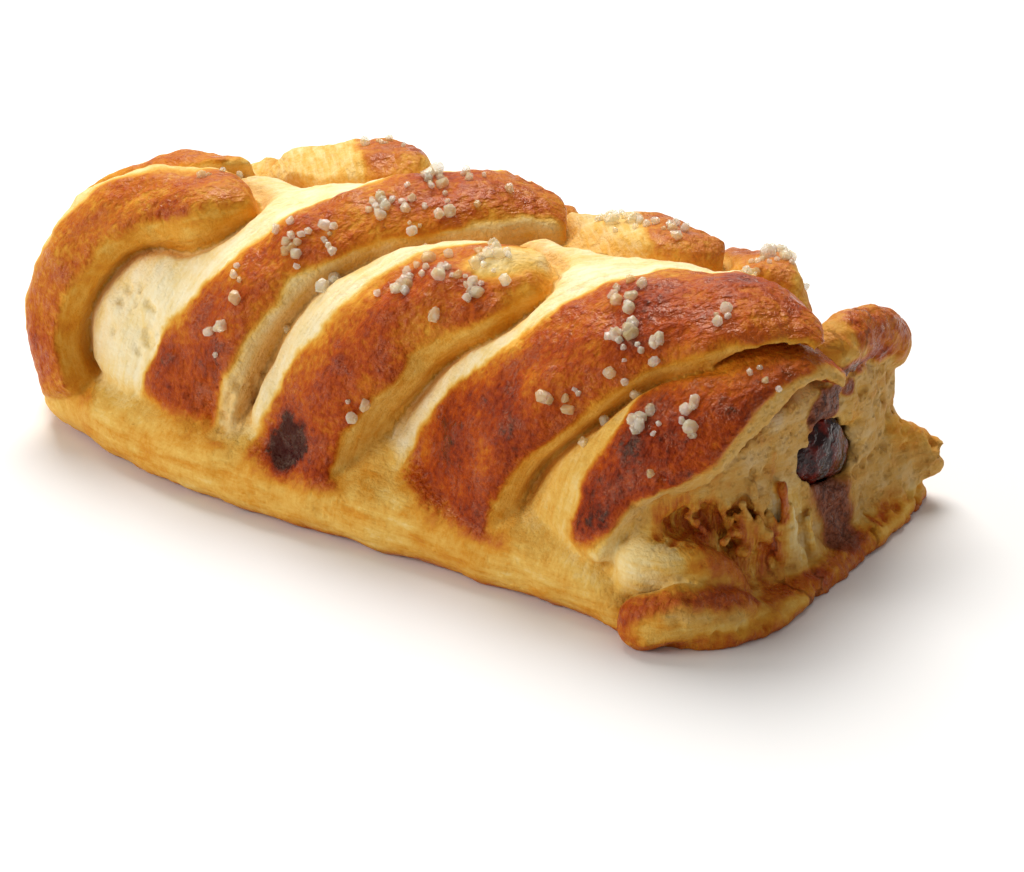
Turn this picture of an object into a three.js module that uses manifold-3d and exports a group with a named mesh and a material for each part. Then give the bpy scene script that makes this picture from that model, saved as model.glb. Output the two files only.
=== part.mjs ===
// Sweet milk braid: a filled yeast-dough plait about 150 mm long.
// A base sheet carries the filling; slanted strips cut in its long sides fold over it and meet on top.
// One end is tucked shut, the other stays open and shows the filling. Coarse sugar sits on the crowns.
// Millimetres, +Z up, +X towards the open end, origin under the middle of the base.
import * as THREE from "three";
import { mergeVertices } from "three/addons/utils/BufferGeometryUtils.js";
import Module from "manifold-3d";

// Driving sizes of the base sheet and of the plaited body on it, which is set back at both ends.
const LENGTH = 153;
const WIDTH = 79;
const SHEET_HEIGHT = 10;
const BODY_HEIGHT = 39;
const BODY_WIDTH = 73;
const BODY_WIDEST_AT = 7;
const CLOSED_SETBACK = 3;
const OPEN_SETBACK = 9;

// Plan outlines are superellipses: the tucked end is rounder than the open one. The far side is a little
// wider, the near long side swells before the middle and draws in after it, and the open end slants back
// towards the far side.
const CLOSED_END_POWER = 3.5;
const OPEN_END_POWER = 6;
const FAR_WIDENING = 1.04;
const SWELL = 2.4;
const SWELL_AT = -28;
const OPEN_END_SKEW = 0.11;
const OPEN_END_SKEW_FROM = -18;

// Strips of the plait from the closed end to the open end, by their crest line: foot and crown are its
// lowest and highest points. lean slows its drift towards the open end near the foot, bow pushes its
// lower middle along X, tail turns its tip along X. flank and steep are its widths before and after the
// crest, roll lifts the steep side.
const NEAR_ARCH_POWER = 2.4;
const FAR_ARCH_POWER = 2;
const RISE_SHARE = 0.94;
const TAIL_SHARE = 0.7;
const STRIPS = [
  {
    foot: [-60, 35, 8], crown: [-51, 14, 36], lean: 1.2, bow: -6, tail: 0,
    flank: 11, steep: 8, thick: 13, roll: 4,
  },
  {
    foot: [-58, -36, 10], crown: [-48, -8, 45], lean: 1.2, bow: -8, tail: 3,
    flank: 9, steep: 4, thick: 12, roll: 4,
  },
  {
    foot: [-48, -40, 5], crown: [-39, -17, 45], lean: 1.4, bow: -9, tail: 5,
    flank: 12, steep: 7, thick: 14, roll: 4,
  },
  {
    foot: [-31.5, -40.5, 5], crown: [-5, 0, 49], lean: 1.4, bow: 0, tail: 10,
    flank: 24, steep: 8, thick: 16, roll: 10,
  },
  {
    foot: [-5.5, -39.5, 4], crown: [14, -11, 47.5], lean: 1.4, bow: 0, tail: 8,
    flank: 22, steep: 8, thick: 16, roll: 9,
  },
  {
    foot: [27.5, -37.5, 5], crown: [54, -6, 48.5], lean: 1.3, bow: 0, tail: 11,
    flank: 28, steep: 9, thick: 17, roll: 9,
  },
  {
    foot: [52, -37.3, 7], crown: [68, -6, 38], lean: 1.4, bow: 0, tail: 2,
    flank: 20, steep: 5, thick: 14, roll: 8,
  },
  {
    foot: [-56, 38, 6], crown: [-23, 4, 47.5], lean: 1.5, bow: 0, tail: 0,
    flank: 22, steep: 7, thick: 16, roll: 16,
  },
  {
    foot: [-30, 38, 6], crown: [6, 12, 42], lean: 1.5, bow: 0, tail: 0,
    flank: 20, steep: 7, thick: 15, roll: 10,
  },
  {
    foot: [4, 38, 6], crown: [38, 4, 47.5], lean: 1.5, bow: 0, tail: 0,
    flank: 18, steep: 7, thick: 15, roll: 6,
  },
  {
    foot: [30, 38, 6], crown: [59.5, 7, 45.5], lean: 1.5, bow: 0, tail: 0,
    flank: 20, steep: 6, thick: 15, roll: 8,
  },
  {
    foot: [54, 38, 6], crown: [69, 14, 37.5], lean: 1.4, bow: 0, tail: 1,
    flank: 15, steep: 4.5, thick: 13, roll: 4,
  },
];
const STRIP_CAP_SHARE = 0.12;
const STRIP_UNDERSIDE = 7;

// Rolls of dough at the open end: the turned-up lip of the base sheet, the fold above it, the far corner
// and the strands that tore between roof and base. Points are their middle lines.
const END_ROLLS = [
  { points: [[56, -34, 5], [63, -35, 6], [69, -32, 6.5], [73, -26, 5.5]], across: 4.5, out: 4 },
  { points: [[54, -31, 8], [62, -30, 9.5], [67, -25, 8.5], [71, -20, 6.5]], across: 6.5, out: 5.4 },
  { points: [[56, 31, 5], [62, 33, 6], [66.5, 33.5, 6]], across: 5, out: 3.6 },
  { points: [[65, -13, 28], [68, -12, 16], [71, -11, 5]], across: 2.6, out: 2 },
  { points: [[65, -6, 30], [69, -6, 18], [71.5, -5, 5]], across: 3.4, out: 2.4 },
  { points: [[63, -21, 26], [67, -19, 14], [70, -17, 5]], across: 1.8, out: 1.5 },
];
const END_WALL = { centre: [49, 1, 17], radii: [18, 29, 16] };
const CAVITY = { centre: [69, -18, 15], radii: [15, 14, 7.5] };

// The filling runs through the braid and shows at the open end. The tunnel it lies in is a little wider.
const FILLING_POINTS = [[-52, 0, 20], [-20, 0, 21], [20, 0, 21], [50, 2, 20], [73, 4, 19]];
const FILLING_ACROSS = 12;
const FILLING_END_ACROSS = 8;
const FILLING_OUT = 8;
const FILLING_LUMP = 0.12;
const FILLING_GAP = 0.3;

// Sugar grains lie on the crown halves of the strips.
const GRAIN_COUNT = 84;
const GRAIN_FIRST_STRIP = 3;
const GRAIN_REACH = 3;
const GRAIN_RADIUS = [0.9, 1.7];
const GRAIN_SHARE = [0.45, 0.98];
const GRAIN_SPREAD = [-8, 6];
const GRAIN_SEED = 20241;

const wasm = await Module();
wasm.setup();

// A three.js geometry as a solid that can be joined and cut.
function solidOf(geometry) {
  const bare = geometry.clone();
  bare.deleteAttribute("normal");
  bare.deleteAttribute("uv");
  const merged = mergeVertices(bare, 1e-4);
  return new wasm.Manifold(
    new wasm.Mesh({
      numProp: 3,
      vertProperties: merged.getAttribute("position").array,
      triVerts: new Uint32Array(merged.index.array),
    }),
  );
}

// A solid back as a three.js geometry.
function geometryOf(solid) {
  const mesh = solid.getMesh();
  return new THREE.BufferGeometry()
    .setAttribute("position", new THREE.BufferAttribute(mesh.vertProperties, 3))
    .setIndex(new THREE.BufferAttribute(mesh.triVerts, 1));
}

// Moves every vertex of a geometry through a function of its place.
function shaped(geometry, move) {
  const position = geometry.getAttribute("position");
  const vertex = new THREE.Vector3();
  for (let i = 0; i < position.count; i++) {
    const moved = move(vertex.fromBufferAttribute(position, i));
    position.setXYZ(i, moved.x, moved.y, moved.z);
  }
  return geometry;
}

const signedPower = (value, power) => Math.sign(value) * Math.abs(value) ** power;
const mix = (a, b, share) => a + (b - a) * share;

// How far a superellipse outline lies from its centre in one direction.
function outlineRadius(angle, closedLength, openLength, halfWidth) {
  const openSide = Math.cos(angle) > 0;
  const power = openSide ? OPEN_END_POWER : CLOSED_END_POWER;
  const along = Math.abs(Math.cos(angle) / (openSide ? openLength : closedLength)) ** power;
  const sideWidth = Math.sin(angle) > 0 ? halfWidth * FAR_WIDENING : halfWidth;
  const across = Math.abs(Math.sin(angle) / sideWidth) ** power;
  return (along + across) ** (-1 / power);
}

// How much further out the near long side lies at one place along the braid.
function nearSwell(x, y) {
  const share = Math.max(-y, 0) / (WIDTH / 2);
  return -SWELL * share * share * Math.cos((2 * Math.PI * (x - SWELL_AT)) / LENGTH);
}

// How much further back the open end lies at one place across the braid.
function openEndSetback(x, y) {
  const share = Math.max(x, 0) / (LENGTH / 2);
  return OPEN_END_SKEW * Math.max(y - OPEN_END_SKEW_FROM, 0) * share * share;
}

// A pillow with a superellipse plan, from a unit sphere: low and high are its lowest and highest levels.
function pillow({ closedLength, openLength, halfWidth, low, high, roundness, around, levels }) {
  const sphere = new THREE.SphereGeometry(1, around, levels).rotateX(Math.PI / 2);
  return shaped(sphere, (p) => {
    const angle = Math.atan2(p.y, p.x);
    const spread = signedPower(Math.hypot(p.x, p.y), roundness);
    const radius = outlineRadius(angle, closedLength, openLength, halfWidth) * spread;
    const x = radius * Math.cos(angle);
    const y = radius * Math.sin(angle);
    const level = mix(low, high, (signedPower(p.z, roundness) + 1) / 2);
    return new THREE.Vector3(x - openEndSetback(x, y), y + nearSwell(x, y), level);
  });
}

// A point on the crest line of a strip, at share 0 at its foot and 1 at its tip.
function crestPoint(strip, share) {
  const [footX, footY, footZ] = strip.foot;
  const [crownX, crownY, crownZ] = strip.crown;
  const risen = Math.max(share / RISE_SHARE, 0);
  const angle = (risen * Math.PI) / 2;
  const power = 2 / (footY < 0 ? NEAR_ARCH_POWER : FAR_ARCH_POWER);
  const bowed = strip.bow * Math.sin(Math.PI * Math.min(risen, 1) ** 0.6);
  const turned = strip.tail * (Math.max(share - TAIL_SHARE, 0) / (1 - TAIL_SHARE)) ** 2;
  const x = mix(footX, crownX, risen ** strip.lean) + bowed + turned;
  const y = mix(crownY, footY, signedPower(Math.cos(angle), power));
  const z = mix(footZ, crownZ, signedPower(Math.sin(angle), power));
  return new THREE.Vector3(x, y, z);
}

// Directions across a strip, towards the open end, and out of it, turned by its roll.
function crestFrame(strip, share) {
  const step = 0.02;
  const side = Math.sign(strip.foot[1]);
  const middle = THREE.MathUtils.clamp(share, step, RISE_SHARE);
  const along = crestPoint(strip, middle + step).sub(crestPoint(strip, middle - step)).normalize();
  const arch = new THREE.Vector3(0, side * along.z, -side * along.y).normalize();
  const level = new THREE.Vector3().crossVectors(along, arch).normalize().multiplyScalar(-side);
  const up = new THREE.Vector3().crossVectors(level, along).multiplyScalar(-side);
  const roll = THREE.MathUtils.degToRad(strip.roll);
  const across = level.clone().multiplyScalar(Math.cos(roll)).addScaledVector(up, Math.sin(roll));
  const out = up.clone().multiplyScalar(Math.cos(roll)).addScaledVector(level, -Math.sin(roll));
  return { across, out };
}

// One strip: a capsule bent over the filling, with a long flank before its crest and a steep side after it.
function stripGeometry(strip) {
  const middle = 2 / STRIP_CAP_SHARE - 2;
  const capsule = new THREE.CapsuleGeometry(1, middle, 3, 14, 10);
  const reach = middle / 2 + 1;
  const side = Math.sign(strip.foot[1]);
  return shaped(capsule, (p) => {
    const share = (p.y / reach + 1) / 2;
    const { across, out } = crestFrame(strip, share);
    const towards = -side * p.x;
    const sideways = towards * (towards > 0 ? strip.steep : strip.flank);
    const sunk = (strip.thick / 2) * (1 - p.z) + STRIP_UNDERSIDE * Math.max(-p.z, 0);
    return crestPoint(strip, share).addScaledVector(across, sideways).addScaledVector(out, -sunk);
  });
}

// A capsule bent along a curve through points. radii gives its half sizes, across and up, at a share of
// it and an angle round it.
function rollGeometry(points, radii, around, rows) {
  const curve = new THREE.CatmullRomCurve3(points.map((p) => new THREE.Vector3(...p)));
  const middle = 2 * rows;
  const capsule = new THREE.CapsuleGeometry(1, middle, 2, around, rows);
  const reach = middle / 2 + 1;
  return shaped(capsule, (p) => {
    const share = (p.y / reach + 1) / 2;
    const along = curve.getTangentAt(share);
    const reference = Math.abs(along.z) > 0.8 ? new THREE.Vector3(1, 0, 0) : new THREE.Vector3(0, 0, 1);
    const across = new THREE.Vector3().crossVectors(along, reference).normalize();
    const out = new THREE.Vector3().crossVectors(across, along);
    const { acrossRadius, outRadius } = radii(share, Math.atan2(p.z, p.x));
    const middleLine = curve.getPointAt(share);
    return middleLine.addScaledVector(across, p.x * acrossRadius).addScaledVector(out, p.z * outRadius);
  });
}

// The filling, or with a gap the tunnel for it: wide inside, narrower and lumpy where it shows.
function fillingGeometry(gap) {
  return rollGeometry(
    FILLING_POINTS,
    (share, angle) => {
      const lump = 1 + FILLING_LUMP * Math.sin(3 * angle + 17 * share);
      const acrossRadius = mix(FILLING_ACROSS, FILLING_END_ACROSS, share ** 4) * lump + gap;
      return { acrossRadius, outRadius: FILLING_OUT * lump + gap };
    },
    16,
    14,
  );
}

// A repeatable run of numbers from 0 to 1.
function numberRun(seed) {
  let state = seed >>> 0;
  return () => {
    state = (Math.imul(state, 1664525) + 1013904223) >>> 0;
    return state / 2 ** 32;
  };
}

// Sugar grains on the crowns of the strips, each half sunk in the surface under it.
function grainGeometries(surface) {
  const draw = numberRun(GRAIN_SEED);
  const between = ([low, high]) => mix(low, high, draw());
  const caster = new THREE.Raycaster();
  const down = new THREE.Vector3(0, 0, -1);
  const strips = STRIPS.slice(GRAIN_FIRST_STRIP);
  const grains = [];
  for (let i = 0; i < GRAIN_COUNT; i++) {
    const strip = strips[i % strips.length];
    const share = between(GRAIN_SHARE);
    const { across } = crestFrame(strip, share);
    const place = crestPoint(strip, share).addScaledVector(across, between(GRAIN_SPREAD));
    const size = between(GRAIN_RADIUS);
    const turn = new THREE.Euler(3 * draw(), 3 * draw(), 3 * draw());
    caster.set(new THREE.Vector3(place.x, place.y, 100), down);
    const [hit] = caster.intersectObject(surface);
    if (!hit || Math.abs(hit.point.z - place.z) > GRAIN_REACH) continue;
    const grain = new THREE.IcosahedronGeometry(size, 0).scale(1.15, 0.9, 0.8);
    const shape = new THREE.Matrix4().makeRotationFromEuler(turn).setPosition(hit.point);
    grains.push(grain.applyMatrix4(shape));
  }
  return grains;
}

function doughSolid() {
  const sheet = pillow({
    closedLength: LENGTH / 2, openLength: LENGTH / 2, halfWidth: WIDTH / 2,
    low: -SHEET_HEIGHT, high: SHEET_HEIGHT + 1, roundness: 0.7, around: 48, levels: 8,
  });
  const body = pillow({
    closedLength: LENGTH / 2 - CLOSED_SETBACK, openLength: LENGTH / 2 - OPEN_SETBACK,
    halfWidth: BODY_WIDTH / 2, low: 2 * BODY_WIDEST_AT - BODY_HEIGHT, high: BODY_HEIGHT,
    roundness: 0.9, around: 48, levels: 18,
  });
  const wall = shaped(
    new THREE.SphereGeometry(1, 24, 12),
    (p) => new THREE.Vector3(...p.toArray().map((value) => signedPower(value, 0.6))),
  ).scale(...END_WALL.radii).translate(...END_WALL.centre);
  const pieces = [sheet, body, wall, ...STRIPS.map(stripGeometry)];
  let dough = pieces.map(solidOf).reduce((joined, piece) => joined.add(piece));
  const cavity = new THREE.SphereGeometry(1, 20, 12).scale(...CAVITY.radii).translate(...CAVITY.centre);
  dough = dough.subtract(solidOf(cavity));
  for (const { points, across, out } of END_ROLLS) {
    const roll = rollGeometry(points, () => ({ acrossRadius: across, outRadius: out }), 10, 8);
    dough = dough.add(solidOf(roll));
  }
  const floor = new THREE.BoxGeometry(2 * LENGTH, 2 * WIDTH, 100).translate(0, 0, -50);
  dough = dough.subtract(solidOf(floor)).subtract(solidOf(fillingGeometry(FILLING_GAP)));
  const surface = new THREE.Mesh(geometryOf(dough));
  for (const grain of grainGeometries(surface)) dough = dough.add(solidOf(grain));
  return dough;
}

// A named node of one material.
function node(name, geometry, material) {
  const mesh = new THREE.Mesh(geometry, material);
  mesh.name = name;
  return mesh;
}

const crust = new THREE.MeshStandardMaterial({ color: 0xb5662a, roughness: 0.5, metalness: 0 });
const jam = new THREE.MeshStandardMaterial({ color: 0x34100d, roughness: 0.2, metalness: 0 });

const braid = new THREE.Group();
braid.add(node("dough", geometryOf(doughSolid()), crust));
braid.add(node("filling", geometryOf(solidOf(fillingGeometry(0))), jam));

export default braid;
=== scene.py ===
"""Looks of the sweet milk braid: dough, jam filling and sugar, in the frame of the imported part."""

import math

import bmesh
import bpy
import numpy as np
import openvdb
from mathutils import Matrix, Vector
from mathutils.bvhtree import BVHTree


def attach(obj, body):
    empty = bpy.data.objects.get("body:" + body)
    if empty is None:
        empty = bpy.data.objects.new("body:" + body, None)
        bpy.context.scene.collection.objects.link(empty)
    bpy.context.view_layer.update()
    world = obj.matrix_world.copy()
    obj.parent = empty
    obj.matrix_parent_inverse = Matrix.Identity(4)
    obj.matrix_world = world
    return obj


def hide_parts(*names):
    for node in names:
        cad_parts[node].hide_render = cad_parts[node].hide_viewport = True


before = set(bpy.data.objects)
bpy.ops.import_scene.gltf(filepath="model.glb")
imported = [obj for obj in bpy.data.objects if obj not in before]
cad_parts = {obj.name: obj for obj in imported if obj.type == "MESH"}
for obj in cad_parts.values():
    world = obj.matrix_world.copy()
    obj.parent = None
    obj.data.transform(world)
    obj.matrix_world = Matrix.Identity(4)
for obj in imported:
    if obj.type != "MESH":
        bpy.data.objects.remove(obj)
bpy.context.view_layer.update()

# Shapes are worked out in millimetres: +X towards the open end, +Z up.
MM = 0.001
VOXEL = 0.55
GRID_LOW = (-80.0, -45.0, -2.0)
GRID_HIGH = (80.0, 45.0, 54.0)
MOST_TRIANGLES = 190000

# Base sheet and plaited body.
LENGTH = 153
WIDTH = 79
SHEET_LOW = -4
SHEET_TOP = 15
SHEET_END_TOP = 6
SHEET_END = (50, 62)
BODY_HEIGHT = 34
BODY_WIDTH = 62
BODY_WIDEST_AT = 7
CLOSED_SETBACK = 3
OPEN_SETBACK = 9
CLOSED_END_POWER = 4.2
OPEN_END_POWER = 6
FAR_WIDENING = 1.04
SWELL = 2.4
SWELL_AT = -28
OPEN_END_SKEW = 0.11
OPEN_END_SKEW_FROM = -18

# Strips of the plait by their crest lines, from the closed end to the open end.
NEAR_ARCH_POWER = 2.4
FAR_ARCH_POWER = 2.0
RISE_SHARE = 0.94
TAIL_SHARE = 0.7
STRIP_CAP_SHARE = 0.06
STRIP_CAP = 3.5
LEFT_RADIUS = 40.0
RIGHT_RADIUS = 14.0
CRUST_WRAP = 0.8
FOOT_BROWN = 0.11
TIP_FROM = 0.9
TIP_DROP = 3.0
LINE_STEPS = 56
CREASE_WIDTH = 1.6
CREASE_DEPTH = 1.3
CREASE_RISE = (5, 11)
MIDDLE_SPAN = (0.02, 0.45)
TIP_SPAN = (0.45, 0.85)
BOW_POWER = 0.6
DIRECTION_STEP = 0.02
CROWN_PAST_EDGE = 1
STRIP_EDGE_ROUND = 1.0
WALL_EDGE_ROUND = 1.4
FLANK_END_ROUND = 7.0
STRIP_END_ROUND = 7.0
THIN_SPAN = (0.7, 1.0)
UNDERSIDE_SLOPE = 0.9

# Foot and crown are the ends of a strip's crest line, which lean, bow and tail bend and roll turns. Left, right
# and slope are given at foot, middle and tip: how far the top reaches from the line, in mm, and the fall of the
# flank towards the closed end, in degrees. Flank is its reach, wall the lean of the side towards the open end,
# thin the share of the depth at the tip, torn how much crumb the wall shows. Pale, top and side say how baked
# flank, top and wall are, and low is where the brown starts.
USUAL_STRIP = dict(lean=1.5, bow=0, tail=0, wall=12, depth=22, thin=1, torn=0, top=0.60, side=0.4, low=8)
STRIPS = {
    "F0": dict(foot=(-60, 35, 8), crown=(-51, 14, 36), lean=1.2, bow=-6, roll=4,
               left=(4, 4, 4), right=(5, 5, 5), flank=11, slope=(14, 16, 16),
               wall=25, pale=0.22, side=0.42),
    "N0": dict(foot=(-55, -34, 10), crown=(-47, -8, 46.5), lean=1.2, bow=-7, tail=3, roll=4,
               left=(9, 9, 9), right=(2.5, 2.5, 2.5), flank=12, slope=(14, 16, 16),
               wall=20, pale=0.33, top=0.57, side=0.20),
    "N1": dict(foot=(-50, -40, 5), crown=(-40, -17, 47.5), lean=1.4, bow=-10.5, tail=5, roll=4,
               left=(8.5, 6.5, 4.5), right=(1, 5, 8.5), flank=12, slope=(14, 20, 20),
               wall=8, pale=0.16, top=0.59, side=0.43, low=5),
    "N2": dict(foot=(-31.5, -40.5, 5), crown=(-5, 3, 51.5), lean=1.4, tail=10, roll=10,
               left=(11, 3.5, 2.5), right=(8, 8.5, 13), flank=36, slope=(-8, 7, 24),
               wall=26, torn=0.4, pale=0.05, top=0.63, side=0.12, low=9),
    "N3": dict(foot=(-5.5, -39.5, 4), crown=(17.5, -11, 47.5), lean=1.4, tail=4.5, roll=9,
               left=(10, 5, 4.5), right=(7, 10.8, 13), flank=30, slope=(6, 13, 13),
               wall=4, pale=0.05, top=0.63, side=0.34, low=5),
    "N4": dict(foot=(27.5, -37.5, 5), crown=(54, -6, 50.2), lean=1.3, tail=8, roll=9,
               left=(17, 7, 8), right=(5, 10.8, 13.5), flank=38, slope=(12, 14, 14),
               wall=8, depth=18, thin=0.42, pale=0.05, top=0.70, side=0.36, low=6),
    "N5": dict(foot=(52, -37.3, 7), crown=(64.5, -8, 44), lean=1.2, roll=8,
               left=(5.5, 3.5, 1), right=(3, 12.5, 11.5), flank=26, slope=(14, 24, 24),
               wall=-4, depth=10, thin=0.75, torn=0.9, pale=0.28, top=0.80, side=0.26, low=10),
    "F1": dict(foot=(-56, 38, 6), crown=(-23, 4, 47.5), roll=16,
               left=(3, 3, 3), right=(8, 8, 8), flank=18, slope=(14, 14, 14), pale=0.24),
    "F2": dict(foot=(-30, 38, 6), crown=(6, 12, 42), roll=10,
               left=(3, 3, 3), right=(8, 8, 8), flank=26, slope=(14, 20, 20), pale=0.20),
    "F3": dict(foot=(4, 38, 6), crown=(38, 4, 48), roll=6,
               left=(4, 4, 4), right=(9, 9, 9), flank=26, slope=(14, 18, 18), pale=0.17),
    "F4": dict(foot=(30, 38, 6), crown=(55.5, 7, 46), roll=8,
               left=(7, 7, 7), right=(4, 4, 4), flank=24, slope=(14, 18, 18), pale=0.30),
    "F5": dict(foot=(54, 38, 6), crown=(62, 16, 33), lean=1.4, tail=1, roll=4,
               left=(4, 4, 4), right=(2, 2, 2), flank=10, slope=(14, 16, 16),
               wall=0, depth=12, torn=0.8, pale=0.3, top=0.72, side=0.2),
}
STRIPS = {name: {**USUAL_STRIP, **strip} for name, strip in STRIPS.items()}

# Open end: crumb behind the filling, hollows in it, rolls of dough round it.
END_FACE_CENTRE = (50, 2)
END_FACE_RADII = (19, 35.5)
END_FACE_POWER = 2.5
END_FACE_FROM = 57
END_FACE_TOP = (25, 31)
END_FACE_RISE = (-26, -8)
END_CORNER = dict(centre=(54, 25, 4), radii=(15.5, 12, 11), power=0.7)
CLOSED_TUCK = dict(centre=(-62, 2, 14), radii=(10, 26, 11.5), power=1.0)
CAVITIES = [
    dict(centre=(65, -26, 16.5), radii=(5, 5, 3.2), power=1.0),
    dict(centre=(69.5, -19, 12.5), radii=(5.0, 7.5, 5.8), power=1.0),
    dict(centre=(71, 10, 20.5), radii=(3.5, 3, 2.4), power=1.0),
]
POCKET = dict(points=[(70, -2.5, 22), (70, 5, 18.5), (70, 12, 14)], across=5.0, out=5.4)
KNOB = dict(points=[(67.5, 2, 34), (66.5, 9, 35), (65.5, 17, 33.8), (64.5, 24, 31), (63, 30, 26)], across=4.2,
            out=4.3)
LIP = dict(points=[(59, -36, 5), (62, -36.8, 4.5), (64.5, -36.2, 5.3), (68, -33, 6), (71, -27.5, 3.6),
                   (72, -21, 2.5)], across=3.2, out=4.5)
FOLD = dict(points=[(55, -33, 11), (60, -32, 10.3), (63.5, -29.5, 9.8), (66.5, -26.5, 8.3), (69, -21, 3.5)],
            across=3.4, out=4.8)
EAR = dict(points=[(61, 19, 15), (65, 26, 13), (67.5, 32, 8.5), (68, 34.5, 4)], across=3.0, out=3.5)
STRAND_SEED = 5
STRAND_SCATTER = 1.0
STRAND_BEND = 0.8
STRAND_FLATNESS = 0.8
STRANDS = [
    dict(top=((64, -29, 19), (68.5, -14, 20)),
         foot=((66, -20, 8), (70, -7, 4)), radius=(0.3, 0.7), count=16),
    dict(top=((67, -24, 14), (69, -14, 12)),
         foot=((67, -15, 8), (69.5, -7, 5)), radius=(0.6, 1.2), count=6),
    dict(top=((68.5, -12, 21), (69.5, -2, 12)),
         foot=((69.5, -10, 5), (70, 2, 3)), radius=(0.4, 1.0), count=12),
]

# Fillets where the forms of the dough meet, in mm.
SHEET_ROUNDNESS = 0.7
BODY_ROUNDNESS = 0.9
BODY_FILLET = 6.0
END_FACE_FILLET = 2.0
END_CORNER_FILLET = 3.0
TUCK_FILLET = 5.0
STRIP_FILLET = (5.0, 0.6)
STRIP_FILLET_RISE = (3, 10)
CAVITY_FILLET = 1.5
FOLD_FILLET = 2.2
ROLL_FILLET = 0.8
PORE_FILLET = 0.3
OUTSIDE = 9.0

# Waves of an uneven surface: height, wave length and seed.
UNEVEN_REACH = 2.5
UNEVEN_WAVES = [(0.22, 11, 1), (0.09, 4.5, 2), (0.06, 2.2, 3)]
ROUGH_WAVES = [(1.0, 4.0, 4), (0.7, 2.0, 5)]

# Flaky dough: the upper far side, and with a share of it the base.
FLAKY_FAR = (0, 10)
FLAKY_RISE = (20, 30)
FLAKY_BASE = (9, 15)
FLAKY_BASE_SHARE = 0.6

# Open crumb where dough is torn or cut. Pore zones are a centre, a radius and how many pores.
CRUMB_FROM = (58, 63)
CRUMB_ROUGH = 0.14
CRUMB_OFF_STRIP = (0.6, 1.6)
CRUMB_NEAR = (-24, -18)
CRUMB_NEAR_SHARE = 0.4
FLAKY_ROUGH = 0.06
PORE_RADIUS = (0.45, 0.95)
SMALL_PORES = 2
PORE_SEED = 8
PORE_ZONES = [
    ((70, 16, 22), 11, 110),
    ((70, 22, 10), 12, 90),
    ((69, -9, 20), 11, 70),
    ((71, -30, 5), 9, 40),
    ((64, -28, 22), 9, 50),
    ((-23, -31, 15), 9, 60),
    ((-44, -27, 22), 9, 40),
]

# Filling.
FILLING_POINTS = [(-52, 0, 20), (-20, 0, 21), (20, 0, 21), (50, 2, 20), (69.8, 5, 18.5)]
FILLING_ACROSS = 12.0
FILLING_END_ACROSS = 10.0
FILLING_OUT = 8.0
FILLING_END_OUT = 6.2
FILLING_END_TURN = 0.5
FILLING_END_POWER = 4
FILLING_LUMP = 0.12
FILLING_LOBES = 3
FILLING_TWIST = 17
FILLING_STEPS = 48
FILLING_REACH = 16
FILLING_GAP = 0.3

# Camera of the photograph.
CAMERA_AZIMUTH = 38
CAMERA_ELEVATION = 25
CAMERA_DISTANCE = 591
CAMERA_TARGET = (4.74, 5.42, 2.9)
SENSOR_WIDTH = 36
LENS = 123.4
CLIP_START = 0.01


def mix(a, b, share):
    return a + (b - a) * share


def signed_power(value, power):
    return np.sign(value) * np.abs(value) ** power


def smooth_step(low, high, value):
    share = np.clip((value - low) / (high - low), 0, 1)
    return share * share * (3 - 2 * share)


def smooth_union(a, b, width):
    """Union of two fields with a fillet of about the given width."""
    share = np.clip(0.5 + 0.5 * (b - a) / width, 0, 1)
    return mix(b, a, share) - width * share * (1 - share)


def smooth_max(a, b, width):
    return -smooth_union(-a, -b, width)


def unit(vectors):
    return vectors / np.linalg.norm(vectors, axis=-1, keepdims=True)


def ripple(points, wavelength, seed, count=14):
    """Smooth uneven pattern, mostly from -1 to 1, with waves of about one length."""
    draw = np.random.default_rng(seed)
    directions = unit(draw.normal(size=(count, 3)))
    lengths = wavelength * draw.uniform(0.7, 1.4, count)
    phases = draw.uniform(0, 2 * np.pi, count)
    total = np.zeros(len(points))
    for direction, length, phase in zip(directions, lengths, phases):
        total += np.sin(points @ direction * (2 * np.pi / length) + phase)
    return total / math.sqrt(count)


def waves(points, parts):
    """Sum of ripples, each given by its height, wave length and seed."""
    return sum(height * ripple(points, length, seed) for height, length, seed in parts)


# Lines that strips and rolls follow.

def crest_points(strip, share):
    """Points of a strip's crest line, share 0 at its foot and 1 at its tip."""
    foot, crown = strip["foot"], strip["crown"]
    risen = np.maximum(share / RISE_SHARE, 0)
    angle = risen * np.pi / 2
    power = 2 / (NEAR_ARCH_POWER if foot[1] < 0 else FAR_ARCH_POWER)
    bowed = strip["bow"] * np.sin(np.pi * np.minimum(risen, 1) ** BOW_POWER)
    turned = strip["tail"] * (np.maximum(share - TAIL_SHARE, 0) / (1 - TAIL_SHARE)) ** 2
    x = mix(foot[0], crown[0], risen ** strip["lean"]) + bowed + turned
    y = mix(crown[1], foot[1], signed_power(np.cos(angle), power))
    z = mix(foot[2], crown[2], signed_power(np.sin(angle), power))
    return np.stack([x, y, z], axis=1)


def strip_line(strip):
    """Crest line of a strip with its directions along, across towards the open end, and out."""
    step = DIRECTION_STEP
    share = np.linspace(STRIP_CAP_SHARE, 1.0, LINE_STEPS)
    middle = np.clip(share, step, RISE_SHARE)
    along = unit(crest_points(strip, middle + step) - crest_points(strip, middle - step))
    side = np.sign(strip["foot"][1])
    arch = unit(np.stack([0 * share, side * along[:, 2], -side * along[:, 1]], axis=1))
    level = -side * unit(np.cross(along, arch))
    up = -side * np.cross(level, along)
    roll = math.radians(strip["roll"])
    across = level * math.cos(roll) + up * math.sin(roll)
    out = up * math.cos(roll) - level * math.sin(roll)
    return dict(points=crest_points(strip, share), along=along, across=across, out=out)


STEEP = 0.8
LEAST_SLOPE = 0.02


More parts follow.
